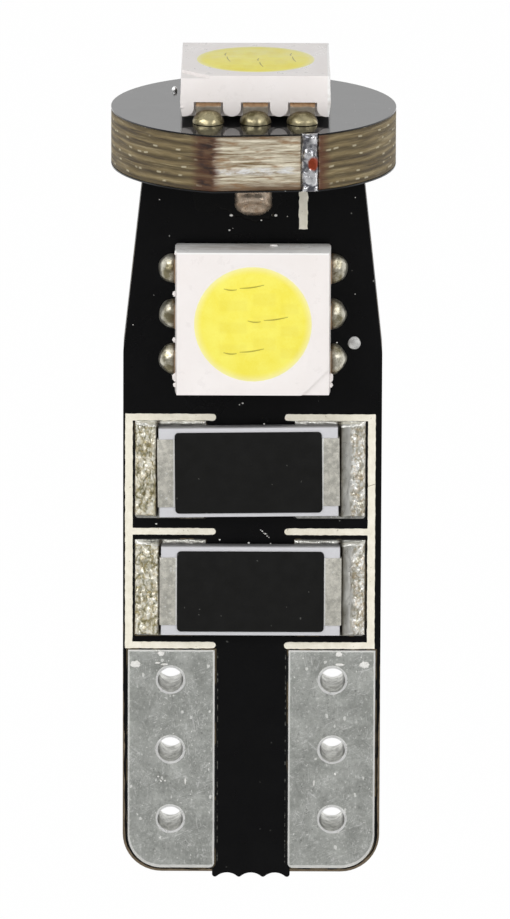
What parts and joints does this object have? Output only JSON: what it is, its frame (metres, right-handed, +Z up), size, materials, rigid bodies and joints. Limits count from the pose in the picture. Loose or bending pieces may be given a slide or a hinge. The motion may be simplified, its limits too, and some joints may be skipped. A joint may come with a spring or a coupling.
{
  "type": "wedge base led bulb",
  "caption": "Miniature lamp on a black circuit blade with wedge contact pads, chip resistors and an LED on each face, and an LED on a round board on top.",
  "frame": {"origin": "middle of the blade's straight bottom edge, on the blade's middle plane", "axes": "+Z up along the blade, from the contact end to the top LED; +X across the blade; the front faces -Y"},
  "size_m": [0.0098, 0.0096, 0.0288],
  "materials": {
    "glass_laminate": "bare glass-fibre laminate, sawn and broken edges",
    "solder_mask": "glossy black solder mask",
    "tinned_copper": "tin plated, finely scratched",
    "legend_ink": "matt cream ink",
    "solder": "lumpy solder with flux tint",
    "white_moulding": "satin white moulding",
    "phosphor_silicone": "yellow phosphor in silicone",
    "led_die": "polished die",
    "gold_wire": "fine gold bond wire",
    "alumina": "white alumina",
    "black_glaze": "black overcoat"
  },
  "bodies": {
    "root": {"blade_board": "glass_laminate", "blade_mask_front": "solder_mask", "blade_mask_back": "solder_mask", "left_contact": "tinned_copper", "right_contact": "tinned_copper", "front_legend": "legend_ink", "back_legend": "legend_ink", "disc_board": "glass_laminate", "disc_mask_top": "solder_mask", "disc_mask_bottom": "solder_mask", "front_lands": "tinned_copper", "back_lands": "tinned_copper", "top_lands": "tinned_copper", "joint_lands": "tinned_copper", "signal_via": "solder", "edge_solder": "solder", "front_joint_solder": "solder", "back_joint_solder": "solder", "front_led_housing": "white_moulding", "front_led_leads": "tinned_copper", "front_led_dies": "led_die", "front_led_wires": "gold_wire", "front_led_lens": "phosphor_silicone", "front_led_solder": "solder", "back_led_housing": "white_moulding", "back_led_leads": "tinned_copper", "back_led_dies": "led_die", "back_led_wires": "gold_wire", "back_led_lens": "phosphor_silicone", "back_led_solder": "solder", "top_led_housing": "white_moulding", "top_led_leads": "tinned_copper", "top_led_dies": "led_die", "top_led_wires": "gold_wire", "top_led_lens": "phosphor_silicone", "top_led_solder": "solder", "front_lower_resistor_ceramic": "alumina", "front_lower_resistor_overcoat": "black_glaze", "front_lower_resistor_terminals": "tinned_copper", "front_lower_resistor_solder": "solder", "front_upper_resistor_ceramic": "alumina", "front_upper_resistor_overcoat": "black_glaze", "front_upper_resistor_terminals": "tinned_copper", "front_upper_resistor_solder": "solder", "back_lower_resistor_ceramic": "alumina", "back_lower_resistor_overcoat": "black_glaze", "back_lower_resistor_terminals": "tinned_copper", "back_lower_resistor_solder": "solder", "back_upper_resistor_ceramic": "alumina", "back_upper_resistor_overcoat": "black_glaze", "back_upper_resistor_terminals": "tinned_copper", "back_upper_resistor_solder": "solder"}
  },
  "joints": []
}
